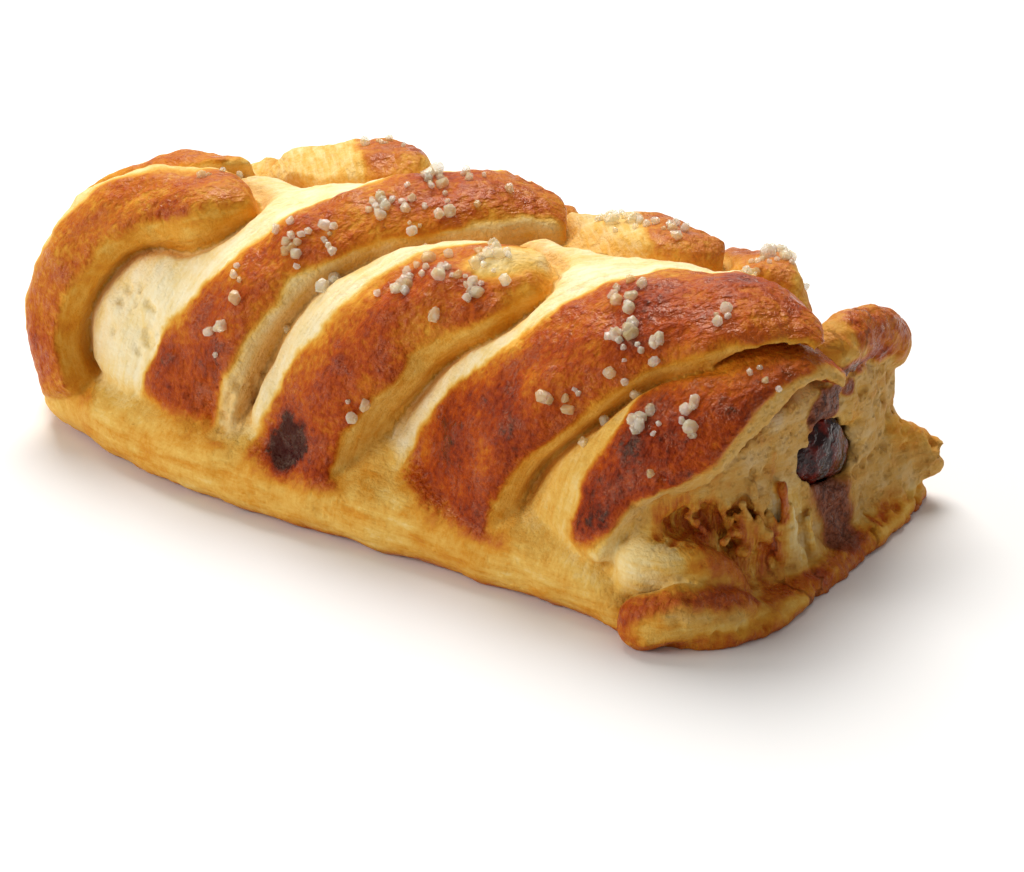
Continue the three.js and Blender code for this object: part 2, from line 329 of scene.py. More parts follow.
def roll_line(points, steps=24):
    """Smooth line through points with its directions along, across and out."""
    knots = np.array(points, float)
    knots = np.vstack([2 * knots[0] - knots[1], knots, 2 * knots[-1] - knots[-2]])
    place = np.linspace(1, len(knots) - 2, steps)
    first = np.minimum(place.astype(int), len(knots) - 3)
    t = (place - first)[:, None]
    p0, p1, p2, p3 = (knots[first + k] for k in (-1, 0, 1, 2))
    line = 0.5 * (2 * p1 + (p2 - p0) * t + (2 * p0 - 5 * p1 + 4 * p2 - p3) * t ** 2
                  + (3 * p1 - p0 - 3 * p2 + p3) * t ** 3)
    along = unit(np.gradient(line, axis=0))
    steep = np.abs(along[:, 2:]) > STEEP
    reference = np.where(steep, (1.0, 0.0, 0.0), (0.0, 0.0, 1.0))
    across = unit(np.cross(along, reference))
    length = np.linalg.norm(np.diff(line, axis=0), axis=1).sum()
    return dict(points=line, along=along, across=across, out=np.cross(across, along), length=length)


def past_end(line, share, past, cap):
    """How far points lie past where the rounded ends of a line start, for ends of one length."""
    inside = np.minimum(share, 1 - share) * line["length"]
    return np.abs(past) + np.maximum(cap - inside, 0)


def line_places(line, x, y, z):
    """Share along a line, distance across it, out of it and past its ends, for points."""
    points = line["points"].astype(np.float32)
    nearest = np.full(x.shape, np.inf, np.float32)
    index = np.zeros(x.shape, np.int32)
    for i, (px, py, pz) in enumerate(points):
        distance = (x - px) ** 2 + (y - py) ** 2 + (z - pz) ** 2
        index[distance < nearest] = i
        np.minimum(nearest, distance, out=nearest)
    last = len(points) - 1
    spacing = np.linalg.norm(np.diff(points, axis=0), axis=1).mean()

    def offset(place, direction):
        low = np.minimum(place.astype(np.int32), last - 1)
        part = place - low
        total = np.zeros(x.shape, np.float32)
        for axis, value in enumerate((x, y, z)):
            centre = mix(points[low, axis], points[low + 1, axis], part)
            turned = mix(direction[low, axis], direction[low + 1, axis], part)
            total += (value - centre) * turned
        return total

    along = line["along"].astype(np.float32)
    step = offset(index.astype(np.float32), along) / spacing
    place = np.clip(index + np.clip(step, -1, 1), 0, last).astype(np.float32)
    across = offset(place, line["across"].astype(np.float32))
    out = offset(place, line["out"].astype(np.float32))
    past = np.where((place <= 0) | (place >= last), offset(place, along), 0)
    return place / last, across, out, past


def rounded(parts, power):
    """Distance-like field of a superellipsoid from its scaled coordinates and their sizes."""
    total = sum(np.abs(value / size) ** power for value, size in parts)
    level = np.maximum(total, 1e-6) ** (1 / power)
    slope = np.sqrt(sum((np.abs(value / size) ** (power - 1) / size) ** 2 for value, size in parts))
    return (level - 1) / np.maximum(slope * level ** (1 - power), LEAST_SLOPE)


def along_strip(values, share):
    """Value at a share of a strip from its values at the foot, in the middle and at the tip."""
    foot, middle, tip = values
    return mix(mix(foot, middle, smooth_step(*MIDDLE_SPAN, share)), tip, smooth_step(*TIP_SPAN, share))


def crown_drop(across):
    """How far a strip's top lies under its crest line at a distance across it."""
    return across ** 2 / (2 * np.where(across > 0, RIGHT_RADIUS, LEFT_RADIUS))


def strip_field(strip, places):
    """Field of one strip: a low crown between two edges, a sloping flank and a wall towards the open end."""
    share, across, out, past = places
    left, right = along_strip(strip["left"], share), along_strip(strip["right"], share)
    slope = np.radians(along_strip(strip["slope"], share))
    lean = math.radians(strip["wall"])
    out = out + TIP_DROP * (np.maximum(share - TIP_FROM, 0) / (1 - TIP_FROM)) ** 2
    crown = out + crown_drop(np.clip(across, -left, right + CROWN_PAST_EDGE))
    flank = (out + crown_drop(-left)) * np.cos(slope) - (across + left) * np.sin(slope)
    wall = (across - right) * math.cos(lean) + (out + crown_drop(right)) * math.sin(lean)
    field = smooth_max(smooth_max(crown, flank, STRIP_EDGE_ROUND), wall, WALL_EDGE_ROUND)
    field = smooth_max(field, -across - strip["flank"], FLANK_END_ROUND)
    depth = strip["depth"] * mix(1.0, strip["thin"], smooth_step(*THIN_SPAN, share))
    field = np.maximum(field, -out - depth + UNDERSIDE_SLOPE * np.minimum(across, 0))
    return smooth_max(field, np.abs(past) - STRIP_CAP, STRIP_END_ROUND)


# The grid that all fields are worked out on.

AXES = [np.arange(low, high, VOXEL, dtype=np.float32) for low, high in zip(GRID_LOW, GRID_HIGH)]
GRID = np.meshgrid(*AXES, indexing="ij", sparse=True)
SHAPE = tuple(len(axis) for axis in AXES)


ROLL_REACH = 6
STRIP_REACH = 8


def block_round(points, reach):
    """Slices of the grid round some points, and its coordinates there."""
    low, high = np.min(points, axis=0) - reach, np.max(points, axis=0) + reach
    slices = tuple(slice(*np.searchsorted(axis, (a, b))) for axis, a, b in zip(AXES, low, high))
    return slices, np.meshgrid(*(axis[s] for axis, s in zip(AXES, slices)), indexing="ij")


def as_distance(level):
    """A level field that is 1 on the surface, as a distance-like field."""
    slopes = np.gradient(level, VOXEL)
    return (level - 1) / np.maximum(np.sqrt(sum(slope ** 2 for slope in slopes)), 1e-3)


def pillow(closed_length, open_length, half_width, low, high, roundness):
    """Pillow with a superellipse plan, between its lowest and highest levels."""
    x, y, z = GRID
    setback = OPEN_END_SKEW * np.maximum(y - OPEN_END_SKEW_FROM, 0) * (np.maximum(x, 0) / (LENGTH / 2)) ** 2
    near = np.maximum(-y, 0) / (WIDTH / 2)
    swell = -SWELL * near ** 2 * np.cos(2 * np.pi * (x - SWELL_AT) / LENGTH)
    x = x + setback
    y = y - swell
    power = np.where(x > 0, OPEN_END_POWER, CLOSED_END_POWER)
    length = np.where(x > 0, open_length, closed_length)
    width = np.where(y > 0, half_width * FAR_WIDENING, half_width)
    spread = (np.abs(x / length) ** power + np.abs(y / width) ** power) ** (1 / power)
    level = signed_power((z - low) / (high - low) * 2 - 1, 1 / roundness)
    return as_distance(np.sqrt(spread ** (2 / roundness) + level ** 2))


def lump(centre, radii, power):
    """Ellipsoid, or with a power under 1 a boxier one."""
    parts = [((axis - c), r) for axis, c, r in zip(GRID, centre, radii)]
    level = sum(np.abs(value / size) ** (2 / power) for value, size in parts) ** (power / 2)
    return as_distance(level)


def end_face():
    """The torn face that closes the open end under the strips."""
    x, y, z = GRID
    (cx, cy), (rx, ry), power = END_FACE_CENTRE, END_FACE_RADII, END_FACE_POWER
    plan = (np.abs((x - cx) / rx) ** power + np.abs((y - cy) / ry) ** power)[:, :, 0] ** (1 / power)
    face = smooth_max(as_distance(plan)[:, :, None], END_FACE_FROM - x, END_FACE_FILLET)
    return smooth_max(face, z - mix(*END_FACE_TOP, smooth_step(*END_FACE_RISE, y)), END_FACE_FILLET)


def filling_radii(share, angle):
    """Half width and half height of the filling, lumpy, and slimmer at the open end."""
    lumpy = 1 + FILLING_LUMP * np.sin(FILLING_LOBES * angle + FILLING_TWIST * share)
    across = mix(FILLING_ACROSS, FILLING_END_ACROSS, share ** FILLING_END_POWER) * lumpy
    return across, mix(FILLING_OUT, FILLING_END_OUT, share ** FILLING_END_POWER) * lumpy


def filling_field(gap):
    """Field of the filling, or with a gap of the tunnel that it lies in."""
    field = np.full(SHAPE, OUTSIDE, np.float32)
    line = roll_line(FILLING_POINTS, FILLING_STEPS)
    slices, coordinates = block_round(FILLING_POINTS, FILLING_REACH)
    share, across, out, past = line_places(line, *coordinates)
    turn = FILLING_END_TURN * share ** FILLING_END_POWER
    turned = across * np.cos(turn) + out * np.sin(turn)
    out = out * np.cos(turn) - across * np.sin(turn)
    across = turned
    wide, deep = filling_radii(share, np.arctan2(out, across))
    beyond = past_end(line, share, past, FILLING_OUT)
    field[slices] = rounded([(across, wide + gap), (out, deep + gap), (beyond, FILLING_OUT + gap)], 2)
    return field


def roll_field(roll):
    """Slices of the grid round a roll of dough, and its field there."""
    line = roll_line(roll["points"])
    slices, coordinates = block_round(roll["points"], roll["across"] + ROLL_REACH)
    share, across, out, past = line_places(line, *coordinates)
    beyond = past_end(line, share, past, roll["out"])
    return slices, rounded([(across, roll["across"]), (out, roll["out"]), (beyond, roll["out"])], 2)


def join_roll(field, roll, width):
    slices, piece = roll_field(roll)
    field[slices] = smooth_union(field[slices], piece, width)


def cut_roll(field, roll, width):
    slices, piece = roll_field(roll)
    field[slices] = smooth_max(field[slices], -piece, width)


def strips_field():
    """Union of all strips, with a narrow crease where two of them meet."""
    field = np.full(SHAPE, OUTSIDE, np.float32)
    second = np.full(SHAPE, OUTSIDE, np.float32)
    for strip in STRIPS.values():
        line = strip_line(strip)
        slices, coordinates = block_round(line["points"], strip["flank"] + STRIP_REACH)
        piece = strip_field(strip, line_places(line, *coordinates)).astype(np.float32)
        second[slices] = np.minimum(second[slices], np.maximum(field[slices], piece))
        field[slices] = np.minimum(field[slices], piece)
    crease = 1 - smooth_step(0, CREASE_WIDTH, second - field)
    return field + CREASE_DEPTH * crease * smooth_step(*CREASE_RISE, GRID[2])


def dough_body():
    """Base sheet, body and the faces that close its two ends, without the strips."""
    top = mix(SHEET_TOP, SHEET_END_TOP, smooth_step(*SHEET_END, GRID[0]))
    sheet = pillow(LENGTH / 2, LENGTH / 2, WIDTH / 2, SHEET_LOW, top, SHEET_ROUNDNESS)
    body = pillow(LENGTH / 2 - CLOSED_SETBACK, LENGTH / 2 - OPEN_SETBACK, BODY_WIDTH / 2,
                  2 * BODY_WIDEST_AT - BODY_HEIGHT, BODY_HEIGHT, BODY_ROUNDNESS)
    field = smooth_union(sheet, body, BODY_FILLET)
    field = smooth_union(field, end_face(), END_FACE_FILLET)
    field = smooth_union(field, lump(**END_CORNER), END_CORNER_FILLET)
    return smooth_union(field, lump(**CLOSED_TUCK), TUCK_FILLET)


def dough_field():
    """The whole dough: body, strips, the hollows and rolls of the open end, and the filling's tunnel."""
    x, y, z = GRID
    strips = strips_field()
    field = smooth_union(dough_body(), strips, mix(*STRIP_FILLET, smooth_step(*STRIP_FILLET_RISE, z)))
    for cavity in CAVITIES:
        field = smooth_max(field, -lump(**cavity), CAVITY_FILLET)
    cut_roll(field, POCKET, CAVITY_FILLET)
    join_roll(field, FOLD, FOLD_FILLET)
    for roll in [KNOB, LIP, EAR, *strands()]:
        join_roll(field, roll, ROLL_FILLET)
    field = np.maximum(field, -filling_field(FILLING_GAP))
    crumb = smooth_step(*CRUMB_FROM, x) * smooth_step(*CRUMB_OFF_STRIP, strips)
    crumb = crumb * mix(CRUMB_NEAR_SHARE, 1.0, smooth_step(*CRUMB_NEAR, y))
    field = pitted(uneven(field, crumb))
    return np.maximum(field, -z)


def strands():
    """Thin strands that the dough drew out as it opened, across the hollow and down the torn face."""
    draw = np.random.default_rng(STRAND_SEED)
    rolls = []
    for group in STRANDS:
        ends = [np.array(group[key], float) for key in ("top", "foot")]
        for i in range(group["count"]):
            share = (i + draw.random()) / group["count"]
            top, foot = (mix(*end, share) + draw.normal(0, STRAND_SCATTER, 3) for end in ends)
            middle = mix(top, foot, 0.5) + draw.normal(0, STRAND_BEND, 3)
            radius = mix(*group["radius"], draw.random())
            rolls.append(dict(points=[top, middle, foot], across=radius, out=STRAND_FLATNESS * radius))
    return rolls


def near_surface(field, reach):
    """Indices and places of the grid's points within a reach of a field's surface."""
    near = np.nonzero(np.abs(field) < reach)
    return near, np.stack([axis[i] for axis, i in zip(AXES, near)], axis=1)


def uneven(field, crumb):
    """The field with its surface raised and sunk a little, as baked dough is, and more on open crumb."""
    near, points = near_surface(field, UNEVEN_REACH)
    points = points.astype(np.float64)
    _, y, z = points.T
    flaky = smooth_step(*FLAKY_FAR, y) * smooth_step(*FLAKY_RISE, z)
    flaky = flaky + FLAKY_BASE_SHARE * (1 - smooth_step(*FLAKY_BASE, z))
    roughness = CRUMB_ROUGH * np.broadcast_to(crumb, SHAPE)[near] + FLAKY_ROUGH * flaky
    field[near] += waves(points, UNEVEN_WAVES)
    field[near] += roughness * waves(points, ROUGH_WAVES)
    return field


def pitted(field):
    """The field with pores sunk into it where crumb shows."""
    draw = np.random.default_rng(PORE_SEED)
    _, points = near_surface(field, VOXEL / 2)
    for middle, reach, count in PORE_ZONES:
        inside = points[np.linalg.norm(points - np.array(middle), axis=1) < reach]
        for centre in inside[draw.integers(0, len(inside), count)]:
            radius = mix(*PORE_RADIUS, draw.random() ** SMALL_PORES)
            slices, (x, y, z) = block_round([centre], radius + 2 * VOXEL)
            distance = np.sqrt((x - centre[0]) ** 2 + (y - centre[1]) ** 2 + (z - centre[2]) ** 2)
            field[slices] = smooth_max(field[slices], radius - distance, PORE_FILLET)
    return field


def mesh_of(name, field):
    """Mesh of a field's zero surface, in metres."""
    edge = 3 * VOXEL
    volume = openvdb.FloatGrid(edge)
    volume.copyFromArray(np.clip(field, -edge, edge).astype(np.float32))
    points, quads = volume.convertToQuads(isovalue=0.0)
    points = (points * VOXEL + np.array(GRID_LOW)) * MM
    mesh = bpy.data.meshes.new(name)
    mesh.from_pydata(points.tolist(), [], quads.tolist())
    mesh.shade_smooth()
    piece = bpy.data.objects.new(name, mesh)
    bpy.context.collection.objects.link(piece)
    return piece


def thin_out(piece):
    """Joins the smallest and flattest faces until the piece has few enough triangles."""
    triangles = sum(len(face.vertices) - 2 for face in piece.data.polygons)
    if triangles > MOST_TRIANGLES:
        modifier = piece.modifiers.new("thin_out", "DECIMATE")
        modifier.ratio = MOST_TRIANGLES / triangles
        graph = bpy.context.evaluated_depsgraph_get()
        thinner = bpy.data.meshes.new_from_object(piece.evaluated_get(graph))
        piece.modifiers.clear()
        piece.data = thinner
        piece.data.shade_smooth()


# Paint: how each point of the dough was baked, from 0 for raw to 1 for burnt, by the strip that it lies on.

# Edges of the brown tops, with waves given by height, wave length and seed.
EDGE_WAVES = [(0.4, 9, 11), (0.15, 3, 15)]
EDGE_BLEND = (0.7, 0.9)
EDGE_BROWN = 0.84
EDGE_BROWN_WIDTH = 4.0
TOP_WAVES = [(0.05, 9, 14)]
FOOT_BROWN_SPAN = (0.08, 0.4)
WRAP_WAVES = [(0.25, 6, 16)]
WRAP_BLEND = 0.7
WALL_BLEND = (3.0, 1.0)
LOW_WAVES = [(1.5, 14, 12)]
LOW_BLEND = 6
LOW_PALE = 0.28
PALE_RISE = (8, 17)

# The band of base sheet under the strips, painted warm shade and glow in the hollows between strips, and the
# crumb.
ON_STRIP_FROM = 0.8
ON_STRIP_TO = (5.5, 2.2)
ON_STRIP_RISE = (8, 16)
STRIP_PAINT_RISE = (4, 8)
BAND_BAKED = 0.34
BAND_WAVES = [(0.04, 16, 13)]
FLOOR_BROWN = 0.25
FLOOR_BROWN_RISE = (0, 2.5)
# Near the crease with the next strip the colour is drawn to one golden level: painted warm shade and glow,
# which also evens out wall and flank there.
CREASE_GLOW_WIDTH = 1.6
CREASE_GLOW_LEVEL = 0.30
CREASE_GLOW_SHARE = 0.5
CRUMB_RISE = (3, 5)
CRUMB_BAKED = 0.26
CRUMB_WAVES = [(0.05, 5, 17)]
# Painted shade: the far strips are dulled towards the crumb colour, where the key light falls on them most.
FAR_STRIP_SHADE = 0.25
STRIP_PATTERN_LENGTH = 66
STRIP_PATTERN_STEP = 100

# Places baked, wetted or stained apart from the rest, each along a line.
TOUCH_CORE = 0.4
TOUCH_WAVES = [(0.12, 5, 18)]
TOUCH_OVER_CRUMB = 0.8
TOUCHES = [
    dict(line=[(60, -40, 4), (63, -40, 5)], reach=6.0, baked=0.56),
    dict(line=[(65, -38.5, 4.5), (69, -34.5, 4.5), (71.5, -29, 3.5)], reach=3.0, baked=0.33),
    dict(line=[(61, -40, 7.5), (64, -39, 9.5), (68, -35, 10.5), (71, -28.5, 7), (72, -23, 6)],
         reach=3.8, baked=0.72),
    dict(line=[(61, -40, 0), (66, -38.5, 0), (72, -29, 0), (74, -21, 0)], reach=3.8, baked=0.60),
    dict(line=[(57, -34, 13), (62, -33, 12), (65, -30, 11)], reach=6.5, baked=0.18),
    dict(line=[(66.5, -28, 11), (68, -25, 11), (70, -20, 7)], reach=4.2, baked=0.56),
    dict(line=[(62, -26, 17), (64, -20, 14), (67, -14, 9)], reach=8.0, baked=0.52, wet=0.6, fibre=1.0),
    dict(line=[(68.5, -9, 15), (69.5, -5, 8)], reach=5.5, baked=0.18, fibre=0.7),
    dict(line=[(70, -12, 29), (70, -10.5, 20), (70.5, -11, 14)], reach=2.2, baked=0.60, wet=0.8),
    dict(line=[(68, 24, 2), (71, 10, 1.5), (73, -5, 1.5), (72, -18, 1.5)], reach=3.4, baked=0.66),
    dict(line=[(66, 27, 14), (67, 33, 10), (68, 36, 4)], reach=4.5, baked=0.44),
    dict(line=[(68, 2, 38), (67, 8, 40), (66, 14, 39)], reach=7.0, baked=0.44),
    dict(line=[(69, 13, 37), (67, 20, 35), (65, 27, 31)], reach=6.5, baked=0.66),
    dict(line=[(70.5, 2, 32), (70.5, 10, 31.5), (69, 20, 30)], reach=3.0, baked=0.84),
    dict(line=[(69, 3, 14), (69.5, 5.5, 10), (69.5, 6, 6)], reach=6.0, baked=0.72, wet=0.2, stain=0.9),
    dict(line=[(69, 0, 27), (69, 4, 28)], reach=3.6, baked=0.8, wet=0.3, stain=1.0),
    dict(line=[(69, 8, 28.5), (69, 9, 28.5)], reach=1.6, baked=0.75, stain=0.7),
    dict(line=[(20, -19, 46), (24, -13, 46.5), (27, -9, 46)], reach=5.5, baked=0.17),
    dict(line=[(-8, -38, 13.5), (-7, -38, 15)], reach=5.6, baked=1.25),
]


def owner_places(points):
    """For each point its nearest strip and its place on it, and how near the next strip is."""
    x, y, z = points.astype(np.float32).T
    fields, shares, acrosses, outs = [], [], [], []
    for strip in STRIPS.values():
        places = line_places(strip_line(strip), x, y, z)
        fields.append(strip_field(strip, places))
        shares.append(places[0])
        acrosses.append(places[1])
        outs.append(places[2])
    owner = np.array(fields).argmin(axis=0)
    ordered = np.sort(np.array(fields), axis=0)

    def own(values):
        return np.take_along_axis(np.array(values), owner[None], axis=0)[0]

    return owner, ordered[0], ordered[1], own(shares), own(acrosses), own(outs)


def of_owner(owner, key):
    """What the strip of each point says under a key."""
    return np.array([strip[key] for strip in STRIPS.values()])[owner]


def near_line(points, knots, reach):
    """1 on a smooth line through some knots and 0 further from it than a reach."""
    distance = np.full(len(points), np.inf)
    for place in roll_line(knots)["points"]:
        distance = np.minimum(distance, np.linalg.norm(points - place, axis=1))
    return 1 - smooth_step(TOUCH_CORE * reach, reach, distance)


def strip_paint(points, owner, share, across, out):
    """How baked the strips are, with pale flank, brown top and golden wall, and where they show crumb."""
    z = points[:, 2]
    left = along_strip(of_owner(owner, "left").T, share) + waves(points, EDGE_WAVES)
    right = along_strip(of_owner(owner, "right").T, share)
    crest = smooth_step(-left - EDGE_BLEND[0], -left + EDGE_BLEND[1], across)
    crest = crest * mix(EDGE_BROWN, 1.0, smooth_step(-left, -left + EDGE_BROWN_WIDTH, across))
    top = of_owner(owner, "top") + waves(points, TOP_WAVES)
    top = top + FOOT_BROWN * (1 - smooth_step(*FOOT_BROWN_SPAN, share))
    under = -out - crown_drop(right) + waves(points, WRAP_WAVES)
    on_wall = smooth_step(right - WALL_BLEND[0], right - WALL_BLEND[1], across)
    wall = smooth_step(CRUST_WRAP - WRAP_BLEND, CRUST_WRAP + WRAP_BLEND, under) * on_wall
    low = of_owner(owner, "low")
    risen = smooth_step(low, low + LOW_BLEND, z + waves(points, LOW_WAVES))
    pale = mix(LOW_PALE, of_owner(owner, "pale"), smooth_step(*PALE_RISE, z))
    baked = mix(pale, top, crest * risen)
    return mix(baked, of_owner(owner, "side"), wall * risen), wall * risen * of_owner(owner, "torn")


def touch_up(points, baked, crumb):
    """Paints the touches over the dough, and says where they leave it wet, stained or fibrous."""
    touched = {key: np.zeros(len(points)) for key in ("wet", "stain", "fibre")}
    stretch = 1 + waves(points, TOUCH_WAVES)
    for touch in TOUCHES:
        here = near_line(points, touch["line"], touch["reach"] * stretch)
        baked = mix(baked, touch["baked"], here)
        crumb = crumb * (1 - TOUCH_OVER_CRUMB * here)
        for key in touched:
            touched[key] = np.maximum(touched[key], here * touch.get(key, 0.0))
    return baked, crumb, touched


def paint_dough(dough):
    """Stores how baked, hollow, crumbly, wet, stained and fibrous each point is, and where it lies."""
    mesh = dough.data
    flat = np.empty(len(mesh.vertices) * 3, np.float32)
    mesh.vertices.foreach_get("co", flat)
    points = flat.reshape(-1, 3).astype(np.float64) / MM
    x, _, z = points.T
    owner, nearest, second, share, across, out = owner_places(points)
    on_strip = 1 - smooth_step(ON_STRIP_FROM, mix(*ON_STRIP_TO, smooth_step(*ON_STRIP_RISE, z)), nearest)
    far = on_strip * (of_owner(owner, "foot")[:, 1] > 0)
    band = BAND_BAKED + waves(points, BAND_WAVES) + FLOOR_BROWN * (1 - smooth_step(*FLOOR_BROWN_RISE, z))
    on_strips, torn = strip_paint(points, owner, share, across, out)
    baked = mix(band, on_strips, on_strip * smooth_step(*STRIP_PAINT_RISE, z))
    # Painted warm shade and glow along the crease with the next strip.
    hollow = np.exp(-np.maximum(second, 0) / CREASE_GLOW_WIDTH) * on_strip
    baked = mix(baked, CREASE_GLOW_LEVEL, CREASE_GLOW_SHARE * hollow)
    crumb = smooth_step(*CRUMB_FROM, x) * (1 - on_strip) * smooth_step(*CRUMB_RISE, z)
    baked = mix(baked, CRUMB_BAKED + waves(points, CRUMB_WAVES), crumb)
    baked, crumb, touched = touch_up(points, baked, np.maximum(crumb, torn * on_strip))
    # On the far strips the crumb tint is painted shade, not crumb.
    values = dict(baked=baked, hollow=hollow, crumb=np.maximum(crumb, FAR_STRIP_SHADE * far), strip=on_strip,
                  streaky=on_strip + far, along=share * STRIP_PATTERN_LENGTH + owner * STRIP_PATTERN_STEP,
                  across=across, out=out, **touched)
    for name, value in values.items():
        layer = mesh.attributes.new(name, "FLOAT", "POINT")
        layer.data.foreach_set("value", value.astype(np.float32))


# Materials.

class Nodes:
    """Short ways to add and join the nodes of one material."""

    def __init__(self, name):
        self.material = bpy.data.materials.new(name)
        self.material.use_nodes = True
        self.tree = self.material.node_tree
        self.shader = self.tree.nodes["Principled BSDF"]

    def add(self, kind, settings=None, **sockets):
        node = self.tree.nodes.new(kind)
        for key, value in (settings or {}).items():
            setattr(node, key, value)
        for key, value in sockets.items():
            self.put(node.inputs[key.replace("_", " ")], value)
        return node

    def put(self, socket, value):
        if isinstance(value, bpy.types.NodeSocket):
            self.tree.links.new(value, socket)
        else:
            socket.default_value = value

    def attribute(self, name):
        return self.add("ShaderNodeAttribute", dict(attribute_name=name)).outputs["Fac"]

    def math(self, operation, *values):
        node = self.add("ShaderNodeMath", dict(operation=operation))
        for socket, value in zip(node.inputs, values):
            self.put(socket, value)
        return node.outputs[0]

    def mix(self, share, a, b):
        node = self.add("ShaderNodeMix", dict(data_type="RGBA"))
        self.put(node.inputs["Factor"], share)
        self.put(node.inputs["A"], a)
        self.put(node.inputs["B"], b)
        return node.outputs["Result"]

    def noise(self, scale, detail=3.0, rough=0.55, vector=None):
        vector = vector or self.add("ShaderNodeTexCoord").outputs["Object"]
        return self.add("ShaderNodeTexNoise", Scale=scale, Detail=detail, Roughness=rough,
                        Vector=vector).outputs["Fac"]

    def cells(self, scale):
        """Distance from the nearest of scattered points."""
        position = self.add("ShaderNodeTexCoord").outputs["Object"]
        return self.add("ShaderNodeTexVoronoi", Scale=scale, Vector=position).outputs["Distance"]

    def centred(self, pattern, share):
        """A pattern about 0, as strong as a share says."""
        return self.math("MULTIPLY", self.math("SUBTRACT", pattern, 0.5), share)

    def stretched(self, vector, scale, turn, detail, rough):
        """Noise drawn out along an axis."""
        place = self.add("ShaderNodeMapping", Vector=vector, Scale=scale, Rotation=(0, 0, turn)).outputs[0]
        return self.noise(1.0, detail, rough, place)

    def weighted(self, patterns, weights, shift=0.0):
        """Sum of some patterns by name, each shifted and times its weight."""
        total = None
        for name, weight in weights.items():
            value = self.math("ADD", patterns[name], shift) if shift else patterns[name]
            part = self.math("MULTIPLY", value, weight)
            total = part if total is None else self.math("ADD", total, part)
        return total

    def range(self, value, low, high, to_low=0.0, to_high=1.0):
        node = self.add("ShaderNodeMapRange", dict(clamp=True), Value=value, From_Min=low, From_Max=high,
                        To_Min=to_low, To_Max=to_high)
        return node.outputs["Result"]

    def ramp(self, value, stops):
        node = self.add("ShaderNodeValToRGB", Fac=value)
        elements = node.color_ramp.elements
        while len(elements) < len(stops):
            elements.new(0.5)
        for element, (position, colour) in zip(elements, stops):
            element.position = position
            element.color = from_srgb(*colour)
        return node.outputs["Color"]

    def bump(self, height, strength, distance):
        node = self.add("ShaderNodeBump", Height=height, Strength=strength, Distance=distance)
        return node.outputs["Normal"]

    def finish(self, **sockets):
        for key, value in sockets.items():
            self.put(self.shader.inputs[key.replace("_", " ")], value)
        return self.material


def from_srgb(red, green, blue):
    """Colour for a shader from the red, green and blue, 0 to 255, of a screen colour."""
    def linear(value):
        value = value / 255
        return value / 12.92 if value <= 0.04045 else ((value + 0.055) / 1.055) ** 2.4
    return linear(red), linear(green), linear(blue), 1.0


BAKED_COLOURS = [
    (0.00, (246, 232, 192)),
    (0.14, (240, 214, 148)),
    (0.28, (230, 186, 92)),
    (0.42, (214, 148, 46)),
    (0.56, (192, 104, 22)),
    (0.70, (170, 68, 11)),
    (0.84, (136, 42, 9)),
    (1.00, (56, 6, 6)),
]
BROWN_FROM = (0.36, 0.62)

# Patterns of the dough. Noises are a scale to the metre, detail and roughness. Stretched ones are scales along
# three axes and a turn, to the mm of a strip or the metre of the piece, then detail and roughness.
NOISES = dict(fine=(1100.0, 3.0, 0.6), mottle=(230.0, 4.0, 0.65), clouds=(95.0, 2.0, 0.5),
              grain=(1500.0, 3.0, 0.6))
WRINKLES = ((0.55, 0.95, 0.95), 0.35, 2.0, 0.5)
WRINKLE_CUT = (0.34, 0.66)
STREAKS = ((0.09, 1.0, 1.0), 0.0, 3.0, 0.6)
LAYERS = ((110.0, 110.0, 620.0), 0.0, 3.0, 0.6)
FIBRES = ((520.0, 520.0, 60.0), 0.0, 3.0, 0.6)
BLISTER_SCALE = 560.0
BLISTER_CUT = (0.15, 0.8)
PORE_SCALE = 800.0
PORE_CUT = (0.1, 0.45)

# How much each pattern darkens the dough, and how much it raises it.
# The blisters' negative weight makes the valleys between blisters darker: painted shade.
BROWN_TINTS = dict(wrinkles=0.06, blisters=-0.05, fine=0.44, mottle=0.40, clouds=0.46)
PALE_TINTS = dict(mottle=0.34, grain=0.14)
STREAK_TINTS = dict(streaks=0.26, layers=0.46)
FIBRE_TINT = 1.1
BROWN_RELIEF = dict(wrinkles=0.4, blisters=0.3, fine=1.1)
PALE_RELIEF = dict(streaks=0.5, layers=1.0, grain=0.7)
PORE_RELIEF = 0.7
FIBRE_RELIEF = 3.0
RELIEF_STRENGTH = 0.75
RELIEF_HEIGHT = 0.0006

# Crease tint: painted warm shade and glow in the creases between strips.
CREASE_GLOW_COLOUR = (230, 150, 30)
CREASE_GLOW_TINT = 0.35
# Crumb tint: the crumb's own duller colour, and on the far strips painted shade.
CRUMB_AND_SHADE_COLOUR = (176, 122, 70)
CRUMB_AND_SHADE_TINT = 0.5
STAIN_COLOURS = ((78, 32, 25), (136, 78, 54))
STAIN_CUT = (0.4, 0.6)
AMBER_CUT = (0.48, 0.60)
ROUGH_FROM = (0.2, 0.8)
ROUGHNESS = (0.66, 0.42)
GLOSS_SMOOTHS = 0.24
SPECULAR = (0.18, 0.44)
SPECULAR_TINT = (1.0, 0.78, 0.52, 1)


